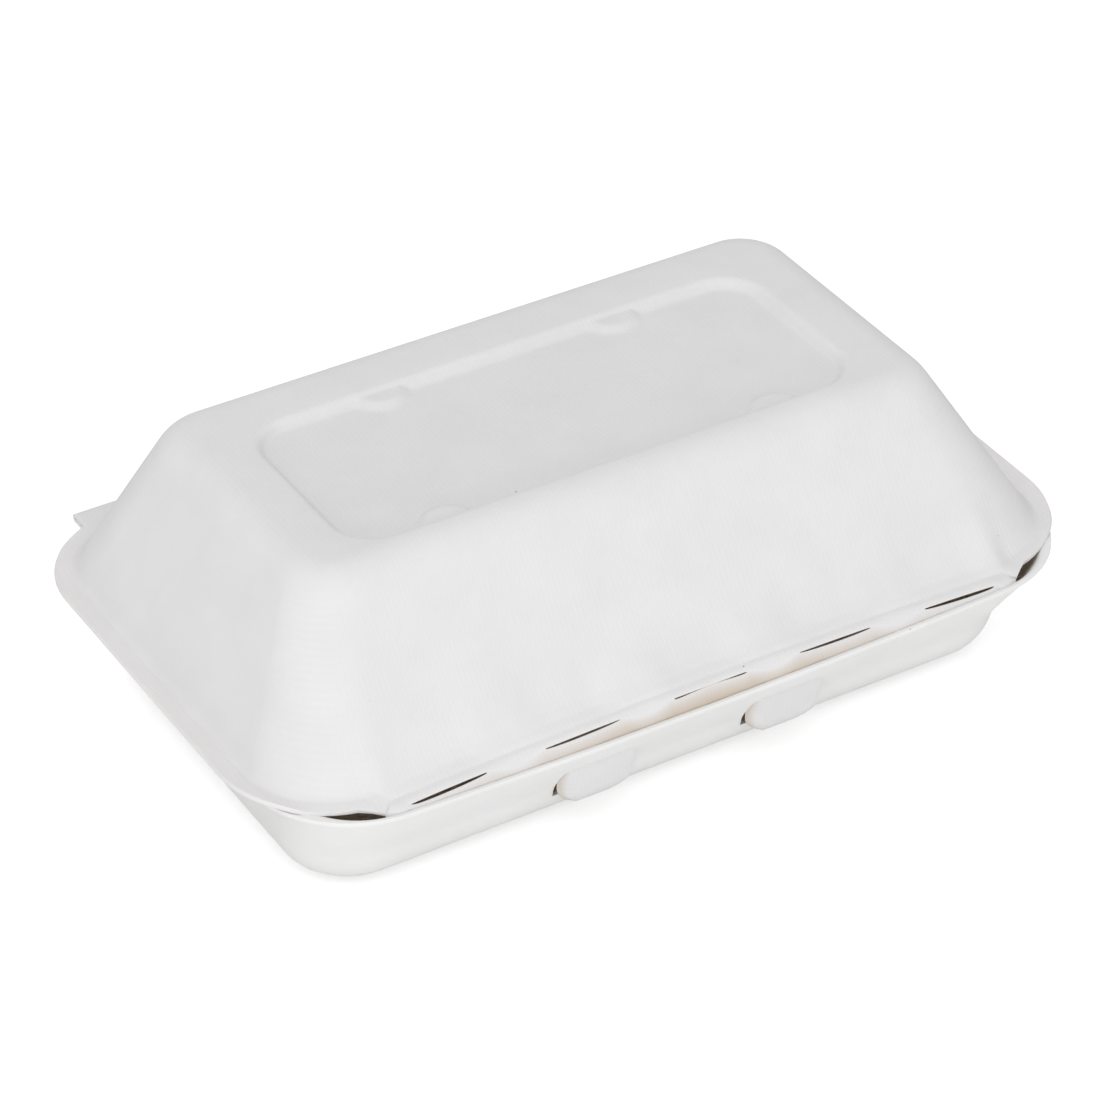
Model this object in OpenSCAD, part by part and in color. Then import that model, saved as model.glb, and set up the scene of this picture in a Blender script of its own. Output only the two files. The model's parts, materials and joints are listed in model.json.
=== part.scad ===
// Closed clamshell food tray pressed from sugar cane pulp, with a tuck flap at the front.
// Origin: centre of the plan at table height, +Z up, the hinge fold at the rear (+Y).

/* [Overall] */
// Length from side to side, over the lid flange
length = 235; // [200:1:280]
// Depth from the front rim of the tray to the hinge fold
depth = 153; // [135:1:190]
// Height from the table to the plane where lid and tray meet
tray_height = 34; // [28:1:48]
// Height of the lid above that plane
lid_height = 43; // [30:1:60]
// Thickness of the pressed pulp
wall = 1.1; // [0.8:0.1:1.6]
// Clearance between the two flanges
flange_gap = 0.3; // [0.2:0.05:0.6]

/* [Tray] */
// Width of the tray flange at the two ends
tray_end_flange = 6.2; // [5:0.1:12]
// Width of the narrow rim in front of the flared wall
tray_front_flange = 0.8; // [0.5:0.1:3]
// Width of the tray flange at the rear, up to the strip at the fold
tray_rear_flange = 7.5; // [5:0.1:10]
// How far the lid flange stands past the tray flange at each end
lid_overhang = 4.4; // [1:0.1:6]
// How far an end wall leans in from flange to floor
tray_end_lean = 5.9; // [2:0.1:14]
// How far the front wall leans in below its flare
tray_front_lean = 3.2; // [2:0.1:8]
// How far the front wall flares out to meet the rim
tray_front_flare = 14; // [9:0.1:18]
// How far the rear wall leans in from flange to floor
tray_rear_lean = 7.5; // [2:0.1:14]
// Height of the foot of the flare above the table
tray_flare_height = 13; // [12:0.5:18]
// Corner radius of the tray flange
tray_corner = 28.4; // [24:0.1:34]
// Corner radius of the wall under the flange
tray_wall_corner = 20.5; // [18:0.1:26]
// Corner radius at the floor
tray_floor_corner = 15.5; // [12:0.1:22]
// Reach of the round edge between floor and wall
tray_edge = 9; // [4:0.1:11]
// How far the front rim sags in its middle
rim_sag = 1.2; // [0:0.1:2]
// How far the front rim bows out in its middle
rim_bow = 0.8; // [0:0.1:1.5]

/* [Lid] */
// Corner radius of the lid flange
lid_corner = 29.5; // [24:0.1:34]
// Width of the lid flange at the two ends
lid_end_flange = 6; // [3:0.1:10]
// Width of the lid flange at the front corners
lid_front_flange = 4.1; // [2:0.1:6]
// Width of the lid flange at the rear, up to the strip at the fold
lid_rear_flange = 5.5; // [3:0.1:9]
// How far an end wall leans in from foot to top
lid_end_lean = 22.5; // [10:0.5:32]
// How far the front wall leans in from foot to top
lid_front_lean = 29.5; // [12:0.5:36]
// How far the rear wall leans in from foot to top
lid_rear_lean = 19.8; // [10:0.5:30]
// Corner radius of the lid wall at its foot
lid_foot_corner = 22; // [16:0.5:28]
// Corner radius of the lid wall at the top
lid_top_corner = 12.5; // [10:0.5:24]
// Reach of the round edge around the top
lid_edge = 6; // [2:0.1:9]
// Reach of the hollow where the wall meets the flange
lid_foot_edge = 2.2; // [1:0.1:4]
// How far the front edge of the lid springs up in its middle
crease_lift = 2; // [0:0.1:2.5]
// How far the foot of the front wall comes forward between two slits
scallop = 1.4; // [0:0.1:2]

/* [Recess] */
// Margin from the recess to the ends of the top
recess_end_margin = 16; // [13:0.5:30]
// Margin from the recess to the front of the top
recess_front_margin = 7.8; // [7:0.1:14]
// Margin from the recess to the rear of the top
recess_rear_margin = 17.2; // [12:0.1:26]
// Corner radius of the recess
recess_corner = 12; // [8:0.5:18]
// Depth of the recess
recess_depth = 2.4; // [1.5:0.1:4]
// How far the recess wall leans in
recess_lean = 1.6; // [0.5:0.1:3]
// Radius of a stacking lug
lug_radius = 7.6; // [5:0.1:11]
// Distance of a front lug from the middle of the lid
lug_front_offset = 46.8; // [30:0.2:50]
// Distance of a rear lug from the middle of the lid
lug_rear_offset = 33.8; // [24:0.2:50]
// Height of a lug above the recess floor
lug_height = 1.5; // [0.6:0.1:1.6]

/* [Tuck flap] */
// Distance from the front rim back to the crease of the flap
crease_inset = 4.4; // [4:0.1:6]
// How far the crease stands in front of the lid flange at the corners
crease_step = 1.9; // [0:0.1:4]
// Half length of the flap along the crease
flap_half = 90; // [84:0.5:91]
// Distance from each end of the flap to the nearest slit
slit_end = 6.6; // [4:0.1:12]
// Number of slits along the crease
slit_count = 5; // [3:2:5]
// Length of one slit
slit_length = 21.5; // [14:0.5:26]
// Width of one slit
slit_width = 0.9; // [0.5:0.1:1.4]
// How far the flap reaches below the crease
flap_depth = 12; // [9:0.1:14]
// Clearance between flap and flared wall
flap_gap = 0.35; // [0.3:0.05:1]

/* [Tongues and slots] */
// Distance of a tongue from the middle of the tray
tongue_offset = 27.2; // [22:0.1:34]
// Width of a tongue
tongue_width = 19.8; // [14:0.1:22]
// Height of the tip of a tongue above the table
tongue_tip = 5.8; // [5:0.1:10]
// Distance of the tongue face behind the front rim
tongue_inset = 11.6; // [11:0.1:14]
// How far the flanks of a tongue turn back
tongue_flank = 2.4; // [1.5:0.1:3]
// Clearance between a tongue and the sides of its slot
slot_side_gap = 0.4; // [0.3:0.1:2]
// Clearance in front of a tongue, for its swing as the lid opens
slot_front_gap = 1.8; // [1.8:0.1:3.5]
// Height of the lower edge of a slot above the table
slot_sill = 8.4; // [7:0.1:10]

/* [Hinge] */
// Half length of the strip at the fold
hinge_half = 99.3; // [80:0.5:104]
// Width of the strip from the fold to the flange
hinge_strip = 4.7; // [3:0.1:8]

/* [Hidden] */
$fn = 48;
corner_steps = 7;
front_steps = 44;
half = length / 2;
front = depth / 2;
fold = depth / 2;
rear = fold - hinge_strip;
fold_clearance = 0.2;
seat = tray_height;
top = tray_height + lid_height;
tray_top = seat - flange_gap / 2;
tray_half = half - lid_overhang;
tray_wall_top = tray_top - wall;
lid_seat = seat + flange_gap / 2;
lid_flange_top = lid_seat + wall;
crease = front - crease_inset;
crease_end = 4;
crease_run = 5;
slit_pitch = (flap_half - slit_end - slit_length / 2) / ((slit_count - 1) / 2);
lid_front = crease - crease_step;

// An outline is [half length, front reach, rear reach, corner radius, height].
tray_rim = [tray_half, front - rim_bow, rear, tray_corner, tray_wall_top];
tray_neck = [tray_half - tray_end_flange, tray_rim[1] - tray_front_flange, rear - tray_rear_flange,
             tray_wall_corner, tray_wall_top];
flare_share = tray_flare_height / tray_wall_top;
tray_waist = [tray_neck[0] - tray_end_lean * (1 - flare_share), tray_neck[1] - tray_front_flare,
              tray_neck[2] - tray_rear_lean * (1 - flare_share),
              tray_wall_corner + (tray_floor_corner - tray_wall_corner) * (1 - flare_share), tray_flare_height];
tray_foot = [tray_neck[0] - tray_end_lean, tray_waist[1] - tray_front_lean, tray_neck[2] - tray_rear_lean,
             tray_floor_corner, 0];

lid_rim = [half, lid_front, rear, lid_corner, lid_flange_top];
lid_foot = [half - lid_end_flange, lid_front - lid_front_flange, rear - lid_rear_flange,
            lid_foot_corner, lid_flange_top];
lid_brow = [lid_foot[0] - lid_end_lean, lid_foot[1] - lid_front_lean, lid_foot[2] - lid_rear_lean,
            lid_top_corner, top];
recess_rim = [lid_brow[0] - recess_end_margin, lid_brow[1] - recess_front_margin, lid_brow[2] - recess_rear_margin,
              recess_corner, top];
recess_floor = [recess_rim[0] - recess_lean, recess_rim[1] - recess_lean, recess_rim[2] - recess_lean,
                recess_corner - recess_lean, top - recess_depth];

function mix(a, b, t) = a + (b - a) * t;
function ease(t) = let (c = min(1, max(0, t))) c * c * (3 - 2 * c);
function inset(o, d) = [o[0] - d, o[1] - d, o[2] - d, max(2, o[3] - d), o[4]];
// Point t of the curve that rounds the corner b between a and c
function rounded(a, b, c, t) = (1 - t) * (1 - t) * a + 2 * t * (1 - t) * b + t * t * c;
// Share of the middle of the front edge, 1 at the centre line and 0 at the ends of the flap
function middle(x) = max(0, 1 - pow(x / flap_half, 2));

// The flange steps out to the crease just past each end of the flap
function edge_step(x) = ease((flap_half + crease_end - abs(x)) / crease_run);
// The wall foot comes forward at the bridges between the slits, and sets back at the slits
function bridge(x) = (1 - cos(360 * x / slit_pitch)) / 2 * ease(slit_count / 2 + 0.5 - abs(x) / slit_pitch);

// Closed loop of points around an outline, whose front edge is lifted, stepped out, bowed and scalloped
function loop(o, lift = 0, step = 0, bow = 0, scallop = 0) =
    let (x = o[0] - o[3], f = o[1] - o[3], r = o[2] - o[3])
    concat(
        [for (i = [0:corner_steps]) let (a = 180 + 90 * i / corner_steps, s = -x + o[3] * cos(a))
            [s, -f + o[3] * sin(a) - step * edge_step(s), o[4]]],
        [for (i = [1:front_steps - 1]) let (s = mix(-x, x, i / front_steps))
            [s, -o[1] - step * edge_step(s) - bow * middle(s) - scallop * bridge(s), o[4] + lift * middle(s)]],
        [for (i = [0:corner_steps]) let (a = 270 + 90 * i / corner_steps, s = x + o[3] * cos(a))
            [s, -f + o[3] * sin(a) - step * edge_step(s), o[4]]],
        [for (i = [0:corner_steps]) let (a = 90 * i / corner_steps)
            [x + o[3] * cos(a), r + o[3] * sin(a), o[4]]],
        [for (i = [0:corner_steps]) let (a = 90 + 90 * i / corner_steps)
            [-x + o[3] * cos(a), r + o[3] * sin(a), o[4]]]);

function unit(v) = v / max(norm(v), 0.000001);
// Surface normals of a grid whose rows may close on themselves
function grid_normal(g, k, i, closed) =
    let (rows = len(g), n = len(g[0]),
         i0 = closed ? (i + n - 1) % n : max(0, i - 1), i1 = closed ? (i + 1) % n : min(n - 1, i + 1),
         along = g[k][i1] - g[k][i0],
         across = g[min(rows - 1, k + 1)][i] - g[max(0, k - 1)][i])
    unit(cross(across, along));
function offset_grid(g, d, closed) =
    [for (k = [0:len(g) - 1]) [for (i = [0:len(g[0]) - 1]) g[k][i] + d * grid_normal(g, k, i, closed)]];
function flat_list(g) = [for (row = g) each row];
function turned(faces, flip) = flip ? [for (f = faces) [for (j = [len(f) - 1:-1:0]) f[j]]] : faces;

// Dished shell between loops that run from a flat middle out to its edge, d above them or below
module dish(g, d) {
    rows = len(g);
    n = len(g[0]);
    size = rows * n;
    skin = [for (k = [0:rows - 2]) for (i = [0:n - 1]) let (j = (i + 1) % n)
        each [[k * n + i, k * n + j, (k + 1) * n + j], [k * n + i, (k + 1) * n + j, (k + 1) * n + i]]];
    back = [for (f = skin) [f[0] + size, f[2] + size, f[1] + size]];
    edge = [for (i = [0:n - 1]) let (j = (i + 1) % n, e = (rows - 1) * n)
        each [[e + i, e + j, e + size + j], [e + i, e + size + j, e + size + i]]];
    caps = [[for (i = [n - 1:-1:0]) i], [for (i = [0:n - 1]) i + size]];
    polyhedron(concat(flat_list(g), flat_list(offset_grid(g, d, true))),
               turned(concat(skin, back, edge, caps), d > 0), convexity = 8);
}

// Open sheet of thickness d on the back of a grid of points
module sheet(g, d) {
    rows = len(g);
    n = len(g[0]);
    size = rows * n;
    skin = [for (k = [0:rows - 2]) for (i = [0:n - 2])
        each [[k * n + i, k * n + i + 1, (k + 1) * n + i + 1], [k * n + i, (k + 1) * n + i + 1, (k + 1) * n + i]]];
    back = [for (f = skin) [f[0] + size, f[2] + size, f[1] + size]];
    rim = concat([for (i = [0:n - 1]) i], [for (k = [1:rows - 1]) k * n + n - 1],
                 [for (i = [n - 2:-1:0]) (rows - 1) * n + i], [for (k = [rows - 2:-1:1]) k * n]);
    edge = [for (j = [0:len(rim) - 1]) let (a = rim[j], b = rim[(j + 1) % len(rim)])
        each [[b, a, a + size], [b, a + size, b + size]]];
    polyhedron(concat(flat_list(g), flat_list(offset_grid(g, -d, false))), concat(skin, back, edge), convexity = 8);
}

// Strip along the fold, on one half of the tray
module fold_strip(z) {
    overlap = 2;
    translate([-hinge_half, rear - overlap, z])
        cube([2 * hinge_half, hinge_strip + overlap - fold_clearance, wall]);
}

// Slot punched straight down through the flare, seen from above
module slot_plan() {
    w = tongue_width / 2 + slot_side_gap;
    face = front - tongue_inset;
    round_end = 4;
    behind = 3;
    hull() {
        for (s = [-1, 1]) translate([s * (w - round_end), -(face + slot_front_gap - round_end)]) circle(round_end);
        translate([-w, -(face - tongue_flank - behind)]) square([2 * w, wall]);
    }
}

module tray() {
    edge_top = tray_edge / tray_wall_top;
    wall_start = mix(tray_foot, tray_waist, tray_edge / tray_flare_height);
    floor_edge = [for (k = [0:4]) rounded(inset(tray_foot, tray_edge), tray_foot, wall_start, k / 4)];
    flare_turn = mix(tray_waist, tray_neck, 0.3);
    steep_end = mix(tray_foot, tray_waist, 0.8);
    flare = [for (k = [1:4]) rounded(steep_end, tray_waist, flare_turn, k / 4)];
    rings = concat([for (o = concat([inset(tray_foot, tray_edge + 2)], floor_edge, [steep_end])) loop(o)],
                   [for (k = [0:3]) loop(flare[k], -rim_sag * 0.1 * k, 0, rim_bow * 0.1 * k)],
                   [loop(mix(tray_waist, tray_neck, 0.65), -rim_sag * 0.65, 0, rim_bow * 0.65),
                    loop(tray_neck, -rim_sag, 0, rim_bow), loop(tray_rim, -rim_sag, 0, rim_bow)]);
    color("#e4e3de") difference() {
        union() {
            dish(rings, wall);
            fold_strip(seat - wall);
        }
        for (s = [-1, 1]) translate([s * tongue_offset, 0, slot_sill]) linear_extrude(tray_height) slot_plan();
    }
}

module lid_shell() {
    wall_start = mix(lid_brow, lid_foot, lid_edge / lid_height);
    wall_end = mix(lid_foot, lid_brow, lid_foot_edge / lid_height);
    foot_end = lid_foot + [lid_foot_edge, lid_foot_edge * 0.6, lid_foot_edge, lid_foot_edge, 0];
    top_shape = concat([inset(recess_floor, 2), recess_floor, recess_rim],
                       [for (k = [0:5]) rounded(inset(lid_brow, lid_edge), lid_brow, wall_start, k / 5)],
                       [mix(lid_brow, lid_foot, 0.5), mix(lid_brow, lid_foot, 0.85)]);
    foot_shape = [for (k = [0:3]) rounded(wall_end, lid_foot, foot_end, k / 3)];
    dish(concat([for (o = top_shape) loop(o)],
                [for (k = [0:3]) loop(foot_shape[k], crease_lift * (0.6 + 0.1 * k), 0, 0, scallop)],
                [loop(lid_rim, crease_lift, crease_step)]), -wall);
}

// Reach of the face of the flap: it leans out from the crease to the rim, then follows the flared wall
flare_slope = (tray_neck[1] - tray_waist[1]) / (tray_wall_top - tray_flare_height);
flap_back = wall * norm([1, flare_slope]) + flap_gap;
flap_lead = 0.2;
flap_lean = 1;
function flap_face(x, z) = let (m = middle(x))
    min(crease + flap_lead + flap_lean * max(0, lid_flange_top - flap_roll + crease_lift * m - z),
        mix(tray_waist[1], tray_neck[1] + rim_bow * m,
            (z - tray_flare_height) / (tray_wall_top - rim_sag * m - tray_flare_height)) - flap_back - set_back(x));
// How far the flared wall falls back at x, where its corner begins
function set_back(x) = let (r = tray_neck[3], d = max(0, abs(x) - tray_neck[0] + r)) r - sqrt(max(0, r * r - d * d));
flap_roll = 1.2;
flap_foot = lid_flange_top - flap_depth;

module flap() {
    steps = 44;
    drops = 8;
    taper = 1.1;
    overlap = 3;
    roll = flap_roll;
    bend = [[-overlap, 0], [-1.1 * roll, 0], [-0.25 * roll, 0.3 * roll], [flap_lead / 2, roll]];
    grid = concat(
        [for (q = bend) [for (i = [0:steps]) let (x = mix(-flap_half, flap_half, i / steps))
            [x, -(crease + q[0]), lid_flange_top + crease_lift * middle(x) - q[1]]]],
        [for (k = [1:drops]) [for (i = [0:steps])
            let (z = mix(lid_flange_top - roll, flap_foot, k / drops), w = flap_half - (lid_flange_top - z) * taper,
                 x = mix(-w, w, i / steps), lift = crease_lift * middle(x) * (1 - k / drops))
            [x, -flap_face(x, z + lift), z + lift]]]);
    sheet(grid, wall);
}

// Tongue: a domed thumb that hangs from the flap, its flanks and tip turned back
module tongue() {
    face = front - tongue_inset;
    rows = 12;
    columns = 14;
    overlap = 1.5;
    spread = 5;
    tip_width = 0.45;
    root = flap_foot + overlap;
    round_start = tongue_tip + tongue_width * 0.38;
    grid = [for (k = [0:rows]) [for (i = [0:columns])
        let (u = sin(90 * (2 * i / columns - 1)), z = mix(root, tongue_tip, sin(90 * k / rows)),
             low = ease((round_start - z) / (round_start - tongue_tip)),
             turn = 1 - sqrt(1 - low * low), edge = ease((root - z) / spread) * pow(abs(u), 6),
             back = tongue_flank * (1 - (1 - edge) * (1 - turn)))
        [u * tongue_width / 2 * mix(1, tip_width, turn), -(max(face, flap_face(tongue_offset, z)) - back), z]]];
    sheet(grid, wall);
}

// Lugs in the recess that keep a stack of trays from sliding
module lug(x, y) {
    towards = y < 0 ? 1 : -1;
    depth_share = 1.25;
    translate([x, y, recess_floor[4] - wall / 2]) intersection() {
        cylinder(h = lug_height + wall / 2, r = lug_radius);
        translate([-lug_radius, towards > 0 ? -lug_radius * (depth_share - 1) : -lug_radius, 0])
            cube([2 * lug_radius, lug_radius * depth_share, recess_depth + wall]);
    }
}

module lugs() {
    for (s = [-1, 1]) {
        lug(s * lug_front_offset, -recess_floor[1]);
        lug(s * lug_rear_offset, recess_floor[2]);
    }
}

// Slits cut through the bend of the flap, right below the edge of the flange
module slits() {
    last = (slit_count - 1) / 2;
    reach = 2 * wall;
    for (k = [-last:last]) {
        x = k * slit_pitch;
        translate([x, -crease, lid_flange_top - wall + crease_lift * middle(x)])
            rotate([0, atan(2 * crease_lift * x / pow(flap_half, 2)), 0])
                translate([-slit_length / 2, -reach, -slit_width]) cube([slit_length, 2 * reach, slit_width]);
    }
}

module lid() {
    color("#efefec") difference() {
        union() {
            lid_shell();
            fold_strip(seat);
            flap();
            for (s = [-1, 1]) translate([s * tongue_offset, 0, 0]) tongue();
            lugs();
        }
        slits();
    }
}

tray();
lid();
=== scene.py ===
import json
import math

import bpy
import numpy as np
from mathutils import Matrix, Vector

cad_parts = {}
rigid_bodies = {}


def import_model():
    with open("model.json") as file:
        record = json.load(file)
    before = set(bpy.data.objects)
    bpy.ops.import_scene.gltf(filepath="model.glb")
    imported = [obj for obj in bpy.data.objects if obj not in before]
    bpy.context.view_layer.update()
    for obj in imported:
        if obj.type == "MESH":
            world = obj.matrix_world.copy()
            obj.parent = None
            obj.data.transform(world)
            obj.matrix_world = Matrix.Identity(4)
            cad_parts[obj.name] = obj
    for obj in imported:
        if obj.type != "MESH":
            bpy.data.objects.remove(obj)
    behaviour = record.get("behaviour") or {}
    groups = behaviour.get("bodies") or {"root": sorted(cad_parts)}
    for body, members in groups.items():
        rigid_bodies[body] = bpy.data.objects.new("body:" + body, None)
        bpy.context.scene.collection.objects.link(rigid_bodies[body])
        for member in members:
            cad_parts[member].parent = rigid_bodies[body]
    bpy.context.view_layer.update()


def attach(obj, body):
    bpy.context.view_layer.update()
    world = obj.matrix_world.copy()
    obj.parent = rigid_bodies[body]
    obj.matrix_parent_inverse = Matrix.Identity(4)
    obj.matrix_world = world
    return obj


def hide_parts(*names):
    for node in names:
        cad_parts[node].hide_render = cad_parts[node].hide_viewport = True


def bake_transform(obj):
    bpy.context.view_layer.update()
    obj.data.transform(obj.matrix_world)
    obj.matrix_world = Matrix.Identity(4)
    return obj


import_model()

# A closed clamshell food tray pressed from sugar cane pulp. All sizes below are in millimetres, with the
# origin at the centre of the plan on the table, the hinge fold at +Y and the tuck flap at the front.
MM = 0.001
LENGTH, DEPTH, SEAT, TOP = 235.0, 153.0, 34.0, 77.0
WALL, FLANGE_GAP = 1.1, 0.3
FRONT, FOLD = DEPTH / 2, DEPTH / 2
STRIP_HALF, REAR = 99.3, DEPTH / 2 - 4.7
RIM_SAG, RIM_BOW = 1.2, 0.8
LID_RISE = TOP - SEAT
NECK_CORNER, FRONT_RUN, REAR_RUN, END_RUN = 20.5, 14.0, 7.5, 5.9
CREASE, CREASE_STEP, CREASE_LIFT = FRONT - 4.4, 1.9, 2.0
FLAP_HALF, FLAP_DEPTH, FLAP_GAP, FLAP_TAPER = 90.0, 12.0, -0.35, 1.1
FLARE_HEIGHT = 13.0
SLIT_PITCH, SLIT_LENGTH, SCALLOP = 36.325, 21.5, 1.4
TONGUE_OFFSET, TONGUE_WIDTH, TONGUE_TIP, TONGUE_FLANK = 27.2, 20.2, 5.8, 3.2
TONGUE_FACE = FRONT - 11.6
SLOT_FRONT_GAP, SLOT_SIDE_GAP, SLOT_SILL, SLOT_ROUND, SLOT_INNER = 1.8, 0.1, 8.4, 2.0, 7
LUG_RADIUS, LUG_HEIGHT = 7.6, 1.5
STRIP_END = FOLD - 1.45
LUGS = [(s * x, y) for s in (-1, 1) for x, y in ((46.8, -29.2), (33.8, 30.0))]

LID_FLANGE_TOP = SEAT + FLANGE_GAP / 2 + WALL
TRAY_RIM_UNDER = SEAT - FLANGE_GAP / 2 - WALL
HOLLOW_DEPTH = 2.4


def outline(half, front, rear, corner, height):
    """Rounded rectangle: half length, reach to the front and to the rear, corner radius, height."""
    return np.array([half, front, rear, corner, height], float)


TRAY_RIM = outline(113.1, FRONT - RIM_BOW, REAR, 28.4, TRAY_RIM_UNDER)
TRAY_NECK = outline(106.9, TRAY_RIM[1] - 0.8, REAR - 7.5, NECK_CORNER, TRAY_RIM_UNDER)
STEEP = 1 - FLARE_HEIGHT / TRAY_RIM_UNDER
TRAY_WAIST = outline(TRAY_NECK[0] - END_RUN * STEEP, TRAY_NECK[1] - FRONT_RUN, TRAY_NECK[2] - REAR_RUN * STEEP,
                     NECK_CORNER - 1.5 * STEEP, FLARE_HEIGHT)
TRAY_FOOT = outline(TRAY_NECK[0] - END_RUN, TRAY_WAIST[1] - 3.2, TRAY_NECK[2] - REAR_RUN, 18, 0)

LID_RIM = outline(LENGTH / 2 - 0.35, CREASE - CREASE_STEP, REAR, 29.5, LID_FLANGE_TOP)
LID_FOOT = outline(LID_RIM[0] - 6, LID_RIM[1] - 4.1, REAR - 5.5, 22, LID_FLANGE_TOP)
LID_BROW = outline(LID_FOOT[0] - 22.5, LID_FOOT[1] - 29.5, LID_FOOT[2] - 19.8, 12.5, TOP)
HOLLOW_RIM = outline(LID_BROW[0] - 16, LID_BROW[1] - 7.8, LID_BROW[2] - 17.2, 12, TOP)
HOLLOW_FLOOR = outline(HOLLOW_RIM[0] - 1.6, HOLLOW_RIM[1] - 1.6, HOLLOW_RIM[2] - 1.6, 10.4, TOP - HOLLOW_DEPTH)


def mix(a, b, t):
    return a + (b - a) * t


def ease(t):
    t = np.clip(t, 0, 1)
    return t * t * (3 - 2 * t)


def inset(o, d):
    return np.array([o[0] - d, o[1] - d, o[2] - d, max(2.0, o[3] - d), o[4]])


def rounded(a, b, c, count, first=0):
    """Outlines along the curve that rounds the corner b between a and c."""
    return [(1 - t) ** 2 * a + 2 * t * (1 - t) * b + t * t * c for t in np.linspace(0, 1, count + 1)[first:]]


def middle(x):
    """Share of the middle of the front edge: 1 at the centre line, 0 at the ends of the flap."""
    return np.maximum(0, 1 - (x / FLAP_HALF) ** 2)


def from_slit(x):
    """Distance along the front edge to the middle of the nearest slit."""
    return np.abs((x + SLIT_PITCH / 2) % SLIT_PITCH - SLIT_PITCH / 2)


def bridge(x):
    """1 half way between two slits and 0 along a slit: there the pulp rolls over into the flap."""
    width = (SLIT_PITCH - SLIT_LENGTH) / 2
    return np.sin(np.clip((from_slit(x) - SLIT_LENGTH / 2) / width, 0, 1) * math.pi / 2) ** 1.2


def scallop(x):
    """How far the foot of the front wall comes forward between the slits."""
    d = from_slit(x) / (SLIT_PITCH / 2)
    return ease((d - 0.3) / 0.55) * ease((2.55 * SLIT_PITCH - np.abs(x)) / 6)


def edge_step(x):
    """The flange steps out to the crease just past each end of the flap."""
    return ease((FLAP_HALF + 4 - np.abs(x)) / 5)


# Columns of the loops that run round an outline
FRONT_COLUMNS = 204
CORNER_COLUMNS = 18
END_COLUMNS = 30
REAR_COLUMNS = 120


class Loops:
    """Points round rounded rectangles, column by column, with the strip at the fold cut off square."""

    def __init__(self, rim):
        cut = math.degrees(math.acos((STRIP_HALF - (rim[0] - rim[3])) / rim[3]))
        rear = np.r_[np.linspace(0, cut - 0.2, CORNER_COLUMNS), np.linspace(cut, 90, 8)]
        self.front = np.linspace(-1, 1, FRONT_COLUMNS + 1)
        self.corner = np.linspace(0, 90, CORNER_COLUMNS + 1)
        self.rear = rear
        sizes = [CORNER_COLUMNS, FRONT_COLUMNS + 1, CORNER_COLUMNS, END_COLUMNS - 1, len(rear),
                 REAR_COLUMNS - 1, len(rear), END_COLUMNS - 1]
        ends = np.cumsum(sizes)
        self.count = int(ends[-1])
        self.front_range = (sizes[0], int(ends[1]) - 1)
        self.strip_range = (int(ends[3]) + CORNER_COLUMNS, int(ends[5]) + len(rear) - 1 - CORNER_COLUMNS)

    def points(self, o):
        half, front, rear, c, z = o
        x, f, r = half - c, front - c, rear - c
        turn = np.radians
        side = np.linspace(0, 1, END_COLUMNS + 1)[1:-1]
        back = np.linspace(1, -1, REAR_COLUMNS + 1)[1:-1]
        a, b = turn(180 + self.corner[:-1]), turn(270 + self.corner[1:])
        d, e = turn(self.rear), turn(180 - self.rear[::-1])
        xy = np.vstack([
            np.c_[-x + c * np.cos(a), -f + c * np.sin(a)],
            np.c_[self.front * x, np.full(len(self.front), -front)],
            np.c_[x + c * np.cos(b), -f + c * np.sin(b)],
            np.c_[np.full(len(side), half), mix(-f, r, side)],
            np.c_[x + c * np.cos(d), r + c * np.sin(d)],
            np.c_[back * x, np.full(len(back), rear)],
            np.c_[-x + c * np.cos(e), r + c * np.sin(e)],
            np.c_[np.full(len(side), -half), mix(r, -f, side)]])
        return np.c_[xy, np.full(len(xy), z)]

    def is_front(self):
        flag = np.zeros(self.count)
        flag[:self.front_range[1] + CORNER_COLUMNS + 1] = 1
        return flag


class Skin:
    """One side of a pressed sheet: rows of points with quads between them, and patches joined to its edge."""

    def __init__(self):
        self.points, self.faces, self.shade = [], [], []

    def add(self, rows, shade=0.0):
        start = sum(len(p) for p in self.points)
        self.points.append(rows)
        self.shade.append(np.broadcast_to(shade, len(rows)))
        return start + np.arange(len(rows))

    def band(self, a, b, closed=True, keep=None):
        count = len(a) if closed else len(a) - 1
        for i in range(count):
            if keep is None or keep[i]:
                j = (i + 1) % len(a)
                self.faces.append((a[i], b[i], b[j], a[j]))

    def mesh(self, name, flip=False):
        faces = [tuple(int(i) for i in (f[::-1] if flip else f)) for f in self.faces]
        me = bpy.data.meshes.new(name)
        me.from_pydata((np.vstack(self.points) * MM).tolist(), [], faces)
        # Per-point painted shade amount, which the pulp material turns into a darker warm tint
        tone = me.attributes.new("fold_tone", "FLOAT", "POINT")
        tone.data.foreach_set("value", np.concatenate(self.shade).astype(np.float32))
        me.validate()
        return me


def piece(name, me):
    obj = bpy.data.objects.new(name, me)
    bpy.context.scene.collection.objects.link(obj)
    return obj


def finished(obj, angle=38):
    """Applies the modifiers of obj, then shades it smooth except at its cut edges."""
    me = bpy.data.meshes.new_from_object(obj.evaluated_get(bpy.context.evaluated_depsgraph_get()))
    me.name = obj.name
    obj.modifiers.clear()
    obj.data = me
    me.polygons.foreach_set("use_smooth", np.ones(len(me.polygons), bool))
    me.set_sharp_from_angle(angle=math.radians(angle))
    return obj


def thicken(obj, edge=0.22, even=False):
    solid = obj.modifiers.new("Pulp thickness", "SOLIDIFY")
    solid.thickness = WALL * MM
    solid.offset = -1
    solid.use_even_offset = even
    bevel = obj.modifiers.new("Soft cut edges", "BEVEL")
    bevel.width = edge * MM
    bevel.segments = 2
    bevel.limit_method = "ANGLE"
    bevel.angle_limit = math.radians(55)
    bevel.use_clamp_overlap = True
    return obj


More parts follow.
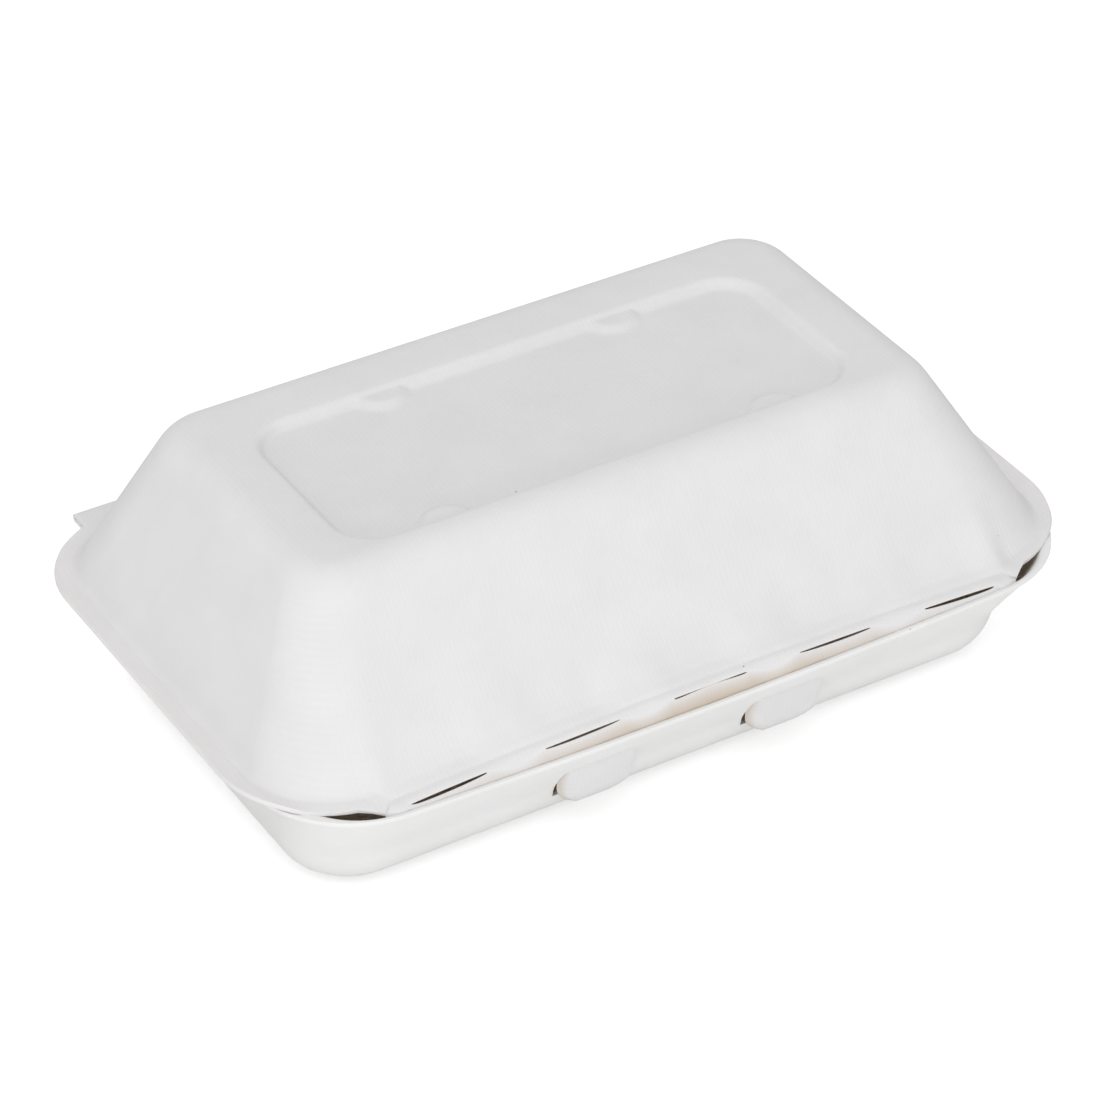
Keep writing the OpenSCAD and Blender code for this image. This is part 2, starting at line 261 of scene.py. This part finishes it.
# ---- Lid with its tuck flap ----
FLARE = (TRAY_NECK[1] - TRAY_WAIST[1]) / (TRAY_RIM_UNDER - FLARE_HEIGHT)
FLAP_BACK = WALL * math.hypot(1, FLARE) + FLAP_GAP
FLAP_ROLL, ROLL_IN = 0.8, 1.8
FLAP_FOOT = LID_FLANGE_TOP - FLAP_DEPTH


def flap_face(x, z):
    """Reach of the flap: it leans out from the crease to the rim, then follows the flared wall."""
    m = middle(x)
    upper, lower = LID_FLANGE_TOP - FLAP_ROLL + CREASE_LIFT * m, TRAY_RIM_UNDER + WALL - RIM_SAG * m - 0.1
    into_corner = np.maximum(0, np.abs(x) - TRAY_NECK[0] + TRAY_NECK[3])
    set_back = TRAY_NECK[3] - np.sqrt(np.maximum(0, TRAY_NECK[3] ** 2 - into_corner ** 2))
    near_rim = TRAY_NECK[1] + RIM_BOW * m - FLAP_BACK
    a = mix(CREASE + 0.2, near_rim, np.clip((upper - z) / (upper - lower), 0, 3))
    share = (z - FLARE_HEIGHT) / (TRAY_RIM_UNDER - RIM_SAG * m - FLARE_HEIGHT)
    b = mix(TRAY_WAIST[1], TRAY_NECK[1] + RIM_BOW * m, share) - FLAP_BACK
    h = np.clip(0.5 + 0.5 * (b - a) / 0.2, 0, 1)
    return mix(b, a, h) - 0.2 * h * (1 - h) - set_back


# Rows of the lid are counted from the valley at the foot of its wall. Along the flap the foot is one smooth
# sweep: the lift in millimetres of the rows of SWEEP_ROWS.
ROWS_PAST_VALLEY = 7
SWEEP_ROWS = (-13, -11, -9, -8, -7, -6, -4, -2, 0, 2, 6)
SWEEP_LIFT = (0, 0.05, 0.25, 0.5, 0.8, 1.1, 1.35, 1.4, 1.2, 0.8, -0.6)


def lid_rows():
    """Outlines from the middle of the hollow to the rim, each with its share of the rise of the crease, of the
    step out to the crease and of the scallops."""
    wall_start = mix(LID_BROW, LID_FOOT, 6.0 / LID_RISE)
    wall_end = mix(LID_FOOT, LID_BROW, 2.2 / LID_RISE)
    foot_end = LID_FOOT + np.array([2.2, 1.3, 2.2, 2.2, 0])
    half_wall = mix(HOLLOW_FLOOR, HOLLOW_RIM, 0.5)
    plain = [inset(HOLLOW_FLOOR, d) for d in (18, 14, 12, 10.5) + tuple(np.arange(9.5, 1.3, -0.75))]
    plain += rounded(inset(HOLLOW_FLOOR, 1.3), HOLLOW_FLOOR, half_wall, 5)
    plain += rounded(half_wall, HOLLOW_RIM, inset(HOLLOW_RIM, -1.3), 5, 1)
    plain += [mix(inset(HOLLOW_RIM, -1.3), inset(LID_BROW, 6), 0.5)]
    plain += rounded(inset(LID_BROW, 6), LID_BROW, wall_start, 10)
    rows = [(o, 0, 0, 0) for o in plain]
    for t in (0.2, 0.4, 0.55, 0.68, 0.78, 0.86, 0.93):
        rows.append((mix(wall_start, wall_end, t), 0.6 * t ** 6, 0, float(ease((t - 0.6) / 0.4))))
    rows += [(o, 0.6 + 0.3 * k / 8, 0, 1) for k, o in enumerate(rounded(wall_end, LID_FOOT, foot_end, 8))]
    rows += [(mix(foot_end, LID_RIM, t), 0.9 + 0.1 * t, t, float(1 - ease(t))) for t in (0.3, 0.6, 0.85, 1.0)]
    return rows


def shape_flange(p, on_front, past_valley, lift, step, wave):
    """Moves one row of the lid: the front steps out and sweeps up to the flap, the ends curl."""
    x = p[:, 0]
    along_flap = on_front * ease((FLAP_HALF + 2 - np.abs(x)) / 3)
    elsewhere = 1 - along_flap
    at_end = ease((np.abs(x) - 104) / 8)
    at_corner = elsewhere * (1 - at_end) * on_front
    p[:, 1] -= on_front * (step * CREASE_STEP * edge_step(x) + wave * SCALLOP * scallop(x))
    p[:, 1] += along_flap * step * ROLL_IN
    p[:, 2] += on_front * lift * CREASE_LIFT * middle(x) + along_flap * float(
        np.interp(past_valley, SWEEP_ROWS, SWEEP_LIFT))
    # The flange sinks a little at the foot of the wall. At the two ends it turns up towards its edge, and round
    # the front corners it slopes down.
    p[:, 2] += elsewhere * (1 - 0.8 * at_corner) * float(
        np.interp(past_valley, (-6, 0, 6), (0, -0.4, 0))) - 0.6 * step * at_corner + at_end * float(
        np.interp(past_valley, (0, 6), (0, 0.6)))
    # Just past the ends of the flap it comes out to the rim of the tray
    come = step * on_front * ease((94 - np.abs(x)) / 3) * (np.abs(x) > 89.5)
    p[:, 1] = mix(p[:, 1], -np.maximum(-p[:, 1], 73.2), come)
    p[:, 2] -= 0.5 * come


def raise_lugs(p):
    """Stacking lugs, pressed half discs that lean on the wall of the hollow."""
    reach = LUG_RADIUS + 0.8
    for lx, ly in LUGS:
        d = np.hypot(p[:, 0] - lx, p[:, 1] - ly)
        lug = TOP - HOLLOW_DEPTH + LUG_HEIGHT * ease((reach - d) / 2.8)
        p[:, 2] = np.maximum(p[:, 2], np.where(d < reach, lug, 0))


def add_flap(skin, loops, rim_row, edge):
    """Tuck flap: the edge rolls over, deeper between the slits, then the flap leans out to the rim of the tray."""
    i0, i1 = loops.front_range[0] - 1, loops.front_range[1] + 1
    x, z_top, root = edge[i0:i1 + 1, 0], edge[i0:i1 + 1, 2], -edge[i0:i1 + 1, 1]
    k = np.round(x / SLIT_PITCH)
    across = (x - k * SLIT_PITCH) / (SLIT_LENGTH / 2)
    in_slit = (np.abs(across) < 1) & (np.abs(k) <= 2)
    # The slit in the middle is pressed shut, the others stand open a little
    gap = 0.03 + np.where(in_slit, np.where(np.abs(k) < 1, 0.8 * across ** 2, 0.5) * np.sqrt(
        np.maximum(0, 1 - across ** 2)), 0)
    outer = ease((np.abs(x) - 2 * SLIT_PITCH - SLIT_LENGTH / 2) / 3)
    depth = FLAP_ROLL + np.maximum(1.3 * bridge(x) * (np.abs(x) < 2 * SLIT_PITCH), 0.8 * outer)
    end = flap_face(x, z_top - depth)
    prev = rim_row[i0:i1 + 1]
    for t in np.linspace(0, 1, 8)[1:]:
        y = (1 - t) ** 2 * root + 2 * t * (1 - t) * (end - 0.6 * depth) + t * t * end
        row = skin.add(np.c_[x, -y, z_top - depth * t * t])
        skin.band(prev, row, closed=False)
        prev = row
    first = z_top - depth - gap
    # Painted shade: the row just under each slit is tinted a little darker, for its shaded cut edge.
    row = skin.add(np.c_[x, -flap_face(x, first), first], 0.15 * in_slit)
    skin.band(prev, row, closed=False, keep=~(in_slit[:-1] & in_slit[1:]))
    prev = row
    for t in np.linspace(0, 1, 17)[1:]:
        z = mix(first, FLAP_FOOT, t ** 1.3)
        narrow = 1 - (LID_FLANGE_TOP - z) * FLAP_TAPER / FLAP_HALF * ease(t * 2)
        # Painted shade: the flap darkens towards the rim of the tray, most in the middle of the front, for the
        # shade under the lid.
        row = skin.add(np.c_[x * narrow, -flap_face(x, z), z], min(1.0, 2.8 * t) * (0.3 + 0.65 * middle(x) ** 2))
        skin.band(prev, row, closed=False)
        prev = row


def lid_mesh():
    loops = Loops(LID_RIM)
    on_front = loops.is_front()
    rows = lid_rows()
    valley = len(rows) - ROWS_PAST_VALLEY
    skin = Skin()
    last = None
    for n, (o, lift, step, wave) in enumerate(rows):
        p = loops.points(o)
        shape_flange(p, on_front, n - valley, lift, step, wave)
        raise_lugs(p)
        row = skin.add(p)
        if last is None:
            skin.faces.append(tuple(row))
        else:
            skin.band(last, row)
        last, edge = row, p
    add_flap(skin, loops, last, edge)
    add_strip(skin, loops, last, edge, LID_FLANGE_TOP)
    return skin


def add_strip(skin, loops, rim_row, edge, height):
    """Strip between the flange and the fold."""
    i0, i1 = loops.strip_range
    prev = rim_row[i0:i1 + 1]
    root = edge[i0:i1 + 1]
    for t in (0.34, 0.67, 1):
        row = skin.add(np.c_[root[:, 0], mix(root[:, 1], STRIP_END, t), np.full(len(root), height)])
        skin.band(prev, row, closed=False)
        prev = row


def tray_mesh():
    loops = Loops(TRAY_RIM)
    on_front = loops.is_front()
    start = mix(TRAY_FOOT, TRAY_WAIST, 9 / FLARE_HEIGHT)
    steep_end = mix(TRAY_FOOT, TRAY_WAIST, 0.8)
    turn_end = mix(TRAY_WAIST, TRAY_NECK, 0.3)
    rows = [(inset(TRAY_FOOT, d), 0) for d in (26, 17, 11)]
    rows += [(o, 0) for o in rounded(inset(TRAY_FOOT, 9), TRAY_FOOT, start, 12)]
    rows += [(o, 0.3 * k / 6) for k, o in enumerate(rounded(steep_end, TRAY_WAIST, turn_end, 6))]
    rows += [(mix(turn_end, TRAY_NECK, t), 0.3 + 0.7 * t) for t in (0.25, 0.5, 0.75)]
    neck_in = mix(TRAY_NECK, turn_end, 0.05)
    neck_out = mix(TRAY_NECK, TRAY_RIM, 0.3)
    rows += [(o, 0.96 + 0.01 * k) for k, o in enumerate(rounded(neck_in, TRAY_NECK, neck_out, 4))]
    rows += [(mix(neck_out, TRAY_RIM, t), 1) for t in (0.33, 0.67, 1)]
    skin = Skin()
    last = None
    for o, weight in rows:
        p = loops.points(o)
        x = p[:, 0]
        p[:, 1] -= on_front * weight * RIM_BOW * middle(x)
        p[:, 2] -= on_front * weight * RIM_SAG * middle(x)
        row = skin.add(p)
        if last is None:
            skin.faces.append(tuple(row))
        else:
            skin.band(last, row)
        last, edge = row, p
    add_strip(skin, loops, last, edge, TRAY_RIM_UNDER)
    return skin


def slot_cutter(x0):
    """Prism with a rounded front, which punches one slot straight down through the flared wall."""
    half = TONGUE_WIDTH / 2 + SLOT_SIDE_GAP
    r = SLOT_ROUND
    front, inner = TONGUE_FACE + SLOT_FRONT_GAP, -(TONGUE_FACE - SLOT_INNER)
    a = np.radians(np.linspace(180, 270, 13))
    left = np.c_[-(half - r) + r * np.cos(a), -(front - r) + r * np.sin(a)]
    plan = np.vstack([[[-half, inner]], left, left[::-1] * [-1, 1], [[half, inner]]])
    n = len(plan)
    v = np.vstack([np.c_[plan + [x0, 0], np.full(n, z)] for z in (SLOT_SILL, 60)])
    faces = [tuple(range(n))[::-1], tuple(range(n, 2 * n))]
    faces += [(i, (i + 1) % n, n + (i + 1) % n, n + i) for i in range(n)]
    me = bpy.data.meshes.new("slot_cutter")
    me.from_pydata((v * MM).tolist(), [], faces)
    return piece("slot_cutter", me)


def tongue_mesh():
    rows, columns = 34, 36
    root = FLAP_FOOT + 1.5
    round_start = TONGUE_TIP + TONGUE_WIDTH * 0.38
    skin = Skin()
    prev = None
    for k in range(rows + 1):
        u = np.sin(np.radians(90 * (2 * np.arange(columns + 1) / columns - 1)))
        z = mix(root, TONGUE_TIP, math.sin(math.radians(90 * k / rows)))
        low = float(ease((round_start - z) / (round_start - TONGUE_TIP)))
        turn = 1 - math.sqrt(max(0, 1 - low * low))
        edge = float(ease((root - z - 3) / 7)) * np.abs(u) ** 5 * np.where(u < 0, 1, 0.2)
        back = TONGUE_FLANK * (1 - (1 - edge) * (1 - turn))
        reach = max(TONGUE_FACE + 1.1 * float(ease((z - 11) / 8)), float(flap_face(TONGUE_OFFSET, z))) - back
        # Painted shade: the left flank of each tongue is tinted darker, for the shade on it where it turns back
        # into the slot.
        row = skin.add(np.c_[u * TONGUE_WIDTH / 2 * mix(1, 0.45, turn), -reach, np.full(len(u), z)],
                       ease((-u - 0.8) / 0.2) * 0.6)
        if prev is not None:
            skin.band(prev, row, closed=False)
        prev = row
    return skin


# ---- Materials ----
def linear(code):
    """sRGB hex to linear RGBA."""
    c = [int(code[i:i + 2], 16) / 255 for i in (1, 3, 5)]
    return [v / 12.92 if v <= 0.04045 else ((v + 0.055) / 1.055) ** 2.4 for v in c] + [1.0]


def node(tree, kind, inputs=None, **settings):
    """Adds one node; an input is a value, or a (node, output) pair to link."""
    n = tree.nodes.new(kind)
    for key, value in settings.items():
        setattr(n, key, value)
    for key, value in (inputs or {}).items():
        if isinstance(value, tuple) and len(value) == 2 and hasattr(value[0], "outputs"):
            tree.links.new(value[0].outputs[value[1]], n.inputs[key])
        else:
            n.inputs[key].default_value = value
    return n


def pulp(name, light, dark, weave, through_share):
    """Pressed sugar cane pulp, dried on a woven wire screen: matt, off-white, a little mottled, with the faint
    imprint of the wires about 1.25 mm apart and now and then a brown fleck of cane. Some light passes through."""
    mat = bpy.data.materials.new(name)
    mat.use_nodes = True
    t = mat.node_tree
    t.nodes.clear()

    def maths(kind, a, b=0.0):
        return (node(t, "ShaderNodeMath", {0: a, 1: b}, operation=kind), 0)

    def span(value, low, high, a, b):
        return (node(t, "ShaderNodeMapRange", {"Value": value, "From Min": low, "From Max": high, "To Min": a,
                                               "To Max": b}), 0)

    where = node(t, "ShaderNodeTexCoord")
    shape = node(t, "ShaderNodeNewGeometry")
    facing = node(t, "ShaderNodeSeparateXYZ", {0: (shape, "Normal")})
    nx = maths("ABSOLUTE", (facing, "X"))
    ny = maths("ABSOLUTE", (facing, "Y"))
    # The screen lies a little wavy in the mould
    drift = node(t, "ShaderNodeTexNoise", {"Vector": (where, "Object"), "Scale": 1 / (32 * MM), "Detail": 1.0})
    shift = node(t, "ShaderNodeVectorMath", {0: (drift, "Color"), 1: (4 * MM,) * 3}, operation="MULTIPLY")
    moved = node(t, "ShaderNodeVectorMath", {0: (where, "Object"), 1: (shift, 0)}, operation="ADD")
    split = node(t, "ShaderNodeSeparateXYZ", {0: (moved, 0)})
    corner = maths("MULTIPLY", nx, ny)
    wires = []
    for axis, pitch, share in (("X", 1.25, span(nx, 0.25, 0.55, 1, 0)), ("Y", 1.25, span(nx, 0.7, 0.95, 0, 0.8)),
                               ("Z", 1.6, span(corner, 0.12, 0.35, 0, 1))):
        wave = maths("SINE", maths("MULTIPLY", (split, axis), 2 * math.pi / (pitch * MM)))
        wires.append(maths("MULTIPLY", wave, share))
    screen = maths("ADD", maths("ADD", wires[0], wires[1]), wires[2])
    fibre = node(t, "ShaderNodeTexNoise", {"Vector": (where, "Object"), "Scale": 1 / (1.3 * MM), "Detail": 3.0,
                                           "Roughness": 0.6})
    height = maths("ADD", (fibre, "Fac"), maths("MULTIPLY", screen, 0.5 * weave))
    bump = node(t, "ShaderNodeBump", {"Height": height, "Strength": 0.8, "Distance": 0.06 * MM})
    cloud = node(t, "ShaderNodeTexNoise", {"Vector": (where, "Object"), "Scale": 1 / (14 * MM), "Detail": 4.0})
    clouds = node(t, "ShaderNodeMix", {"Factor": span((cloud, "Fac"), 0.35, 0.65, 0, 1), 6: linear(dark),
                                       7: linear(light)}, data_type="RGBA")
    # The imprint of each wire is a shade darker than the pulp between the wires
    imprint = span(screen, -1, 1, 0.2 * weave, 0)
    colour = node(t, "ShaderNodeMix", {"Factor": imprint, 6: (clouds, 2), 7: linear("#d6d6d8")}, data_type="RGBA")
    # Painted shade: the tone attribute tints the tuck flap, the slit edges and the left flanks of the tongues a
    # darker warm cream, standing in for the shade and warm bounce light where they sit under the lid and behind
    # the tray rim.
    fold = node(t, "ShaderNodeAttribute", attribute_name="fold_tone")
    shade_tinted = node(t, "ShaderNodeMix", {"Factor": (fold, "Fac"), 6: (colour, 2), 7: linear("#d4c5b2")},
                  data_type="RGBA")
    cells = node(t, "ShaderNodeTexVoronoi", {"Vector": (where, "Object"), "Scale": 1 / (16 * MM)})
    fleck = maths("LESS_THAN", (cells, "Distance"), 0.013)
    flecked = node(t, "ShaderNodeMix", {"Factor": fleck, 6: (shade_tinted, 2), 7: linear("#8a7a64")}, data_type="RGBA")
    skin = node(t, "ShaderNodeBsdfPrincipled",
                {"Base Color": (flecked, 2), "Roughness": 0.85, "Specular IOR Level": 0.25, "Normal": (bump, 0)})
    through = node(t, "ShaderNodeBsdfTranslucent", {"Color": linear("#f4e6d2"), "Normal": (bump, 0)})
    sheet = node(t, "ShaderNodeMixShader", {0: through_share, 1: (skin, 0), 2: (through, 0)})
    node(t, "ShaderNodeOutputMaterial", {"Surface": (sheet, 0)})
    return mat


LID_PULP = pulp("sugar_cane_pulp_screen_side", "#f3f3f5", "#f0f0f2", 0.35, 0.18)
TRAY_PULP = pulp("sugar_cane_pulp_smooth_side", "#f2f2f2", "#f0f0ef", 0.12, 0.08)

# ---- Pieces ----
lid = thicken(piece("lid_shell", lid_mesh().mesh("lid_shell")))
finished(lid)
lid.data.materials.append(LID_PULP)

tray = thicken(piece("tray_shell", tray_mesh().mesh("tray_shell", flip=True)), edge=0.42)
for x0 in (-TONGUE_OFFSET, TONGUE_OFFSET):
    cutter = slot_cutter(x0)
    cut = tray.modifiers.new("Slot", "BOOLEAN")
    cut.object = cutter
    cut.operation = "DIFFERENCE"
    cut.solver = "EXACT"
finished(tray)
tray.data.materials.append(TRAY_PULP)
for obj in [o for o in bpy.data.objects if o.name.startswith("slot_cutter")]:
    bpy.data.objects.remove(obj)


def tongue_pair(obj):
    """Two copies of the tongue, at an equal distance to the left and right of the middle."""
    tree = bpy.data.node_groups.new("Tongue pair", "GeometryNodeTree")
    for name, kind in (("Geometry", "NodeSocketGeometry"), ("Distance from the middle", "NodeSocketFloat"),
                       ("Pulp", "NodeSocketMaterial")):
        tree.interface.new_socket(name, in_out="INPUT", socket_type=kind)
    tree.interface.new_socket("Geometry", in_out="OUTPUT", socket_type="NodeSocketGeometry")
    given = node(tree, "NodeGroupInput")
    left = node(tree, "ShaderNodeMath", {0: (given, 1), 1: -1.0}, operation="MULTIPLY")
    start = node(tree, "ShaderNodeCombineXYZ", {0: (left, 0)})
    apart = node(tree, "ShaderNodeMath", {0: (given, 1), 1: 2.0}, operation="MULTIPLY")
    step = node(tree, "ShaderNodeCombineXYZ", {0: (apart, 0)})
    line = node(tree, "GeometryNodeMeshLine", {"Count": 2, "Start Location": (start, 0), "Offset": (step, 0)})
    copies = node(tree, "GeometryNodeInstanceOnPoints", {"Points": (line, 0), "Instance": (given, 0)})
    real = node(tree, "GeometryNodeRealizeInstances", {"Geometry": (copies, 0)})
    dressed = node(tree, "GeometryNodeSetMaterial", {"Geometry": (real, 0), "Material": (given, 2)})
    node(tree, "NodeGroupOutput", {"Geometry": (dressed, 0)})
    pair = obj.modifiers.new("Tongue pair", "NODES")
    pair.node_group = tree
    inputs = {i.name: i.identifier for i in tree.interface.items_tree if i.in_out == "INPUT"}
    pair[inputs["Distance from the middle"]] = TONGUE_OFFSET * MM
    pair[inputs["Pulp"]] = LID_PULP
    return obj


tongues = finished(tongue_pair(thicken(piece("tongues", tongue_mesh().mesh("tongues")))))


def fold_mesh():
    """Band of pulp that turns back on itself at the hinge fold."""
    inner, outer, y0 = FLANGE_GAP / 2, FLANGE_GAP / 2 + WALL, STRIP_END
    a = np.radians(np.r_[np.linspace(-90, -8, 8), -4, 0, 4, np.linspace(8, 90, 8)])
    ring = np.vstack([np.c_[y0 + outer * np.cos(a), SEAT + outer * np.sin(a)],
                      np.c_[y0 + inner * np.cos(a), SEAT + inner * np.sin(a)][::-1]])
    n = len(ring)
    stations = np.linspace(-STRIP_HALF, STRIP_HALF, 41)
    v = np.vstack([np.c_[np.full(n, x), ring] for x in stations])
    faces = [tuple(range(n)), tuple(range(40 * n, 41 * n))[::-1]]
    for s in range(40):
        faces += [(s * n + i, (s + 1) * n + i, (s + 1) * n + (i + 1) % n, s * n + (i + 1) % n) for i in range(n)]
    me = bpy.data.meshes.new("fold")
    me.from_pydata((v * MM).tolist(), [], faces)
    return me


fold = finished(piece("fold", fold_mesh()))
fold.data.materials.append(LID_PULP)

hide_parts("lid")
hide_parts("tray")
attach(lid, "lid")
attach(tongues, "lid")
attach(tray, "tray")
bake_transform(fold)

# ---- Floor, light and camera ----
floor_mesh = bpy.data.meshes.new("floor")
floor_mesh.from_pydata([(-4, -4, 0), (4, -4, 0), (4, 4, 0), (-4, 4, 0)], [], [(0, 1, 2, 3)])
floor = piece("floor", floor_mesh)
floor.location.z = -0.0002
floor_mat = bpy.data.materials.new("white_paper_sweep")
floor_mat.use_nodes = True
ft = floor_mat.node_tree
ft.nodes.clear()
seen = node(ft, "ShaderNodeLightPath")
matt = node(ft, "ShaderNodeBsdfDiffuse", {"Color": linear("#f6f6f6")})
glow = node(ft, "ShaderNodeEmission", {"Color": (1, 1, 1, 1), "Strength": 0.4})
lit = node(ft, "ShaderNodeAddShader", {0: (matt, 0), 1: (glow, 0)})
seen_mix = node(ft, "ShaderNodeMixShader", {0: (seen, "Is Camera Ray"), 1: (matt, 0), 2: (lit, 0)})
node(ft, "ShaderNodeOutputMaterial", {"Surface": (seen_mix, 0)})
floor.data.materials.append(floor_mat)

world = bpy.data.worlds.new("studio")
bpy.context.scene.world = world
world.use_nodes = True
wt = world.node_tree
wt.nodes.clear()
ray = node(wt, "ShaderNodeLightPath")
room = node(wt, "ShaderNodeBackground", {"Color": (1, 1, 1, 1), "Strength": 0.68})
backdrop = node(wt, "ShaderNodeBackground", {"Color": (1, 1, 1, 1), "Strength": 1.0})
both_rays = node(wt, "ShaderNodeMixShader", {0: (ray, "Is Camera Ray"), 1: (room, 0), 2: (backdrop, 0)})
node(wt, "ShaderNodeOutputWorld", {"Surface": (both_rays, 0)})


def lamp(name, place, aim, size, watts):
    data = bpy.data.lights.new(name, "AREA")
    data.shape = "RECTANGLE"
    data.size, data.size_y = size
    data.energy = watts
    obj = bpy.data.objects.new(name, data)
    bpy.context.scene.collection.objects.link(obj)
    obj.location = place
    obj.rotation_euler = (Vector(place) - Vector(aim)).to_track_quat("Z", "Y").to_euler()
    return obj


lamp("high_softbox", (-0.55, -0.25, 1.85), (0, 0, 0.04), (1.4, 1.0), 8.8)
lamp("low_softbox", (-0.75, -1.7, 0.34), (0, 0, 0.03), (1.4, 0.6), 10.2)

azimuth, elevation, roll = math.radians(-30.0994), math.radians(35.1139), math.radians(-0.9788)
target, distance = Vector((-12.102, -17.098, 47.009)) * MM, 1.11258
focal_pixels, frame_pixels, sensor = 4482.889, 1100, 36
back = Vector((math.sin(azimuth) * math.cos(elevation), -math.cos(azimuth) * math.cos(elevation),
               math.sin(elevation)))
right = Vector((math.cos(azimuth), math.sin(azimuth), 0))
up = back.cross(right)
right_rolled = right * math.cos(roll) + up * math.sin(roll)
up_rolled = up * math.cos(roll) - right * math.sin(roll)
camera_data = bpy.data.cameras.new("camera")
camera_data.lens = focal_pixels * sensor / frame_pixels
camera_data.sensor_width = sensor
camera_data.clip_end = 20
camera = bpy.data.objects.new("camera", camera_data)
bpy.context.scene.collection.objects.link(camera)
turn = Matrix((right_rolled, up_rolled, back)).transposed()
camera.matrix_world = Matrix.Translation(target + back * distance) @ turn.to_4x4()
bpy.context.scene.camera = camera
bpy.context.scene.view_settings.view_transform = "Standard"
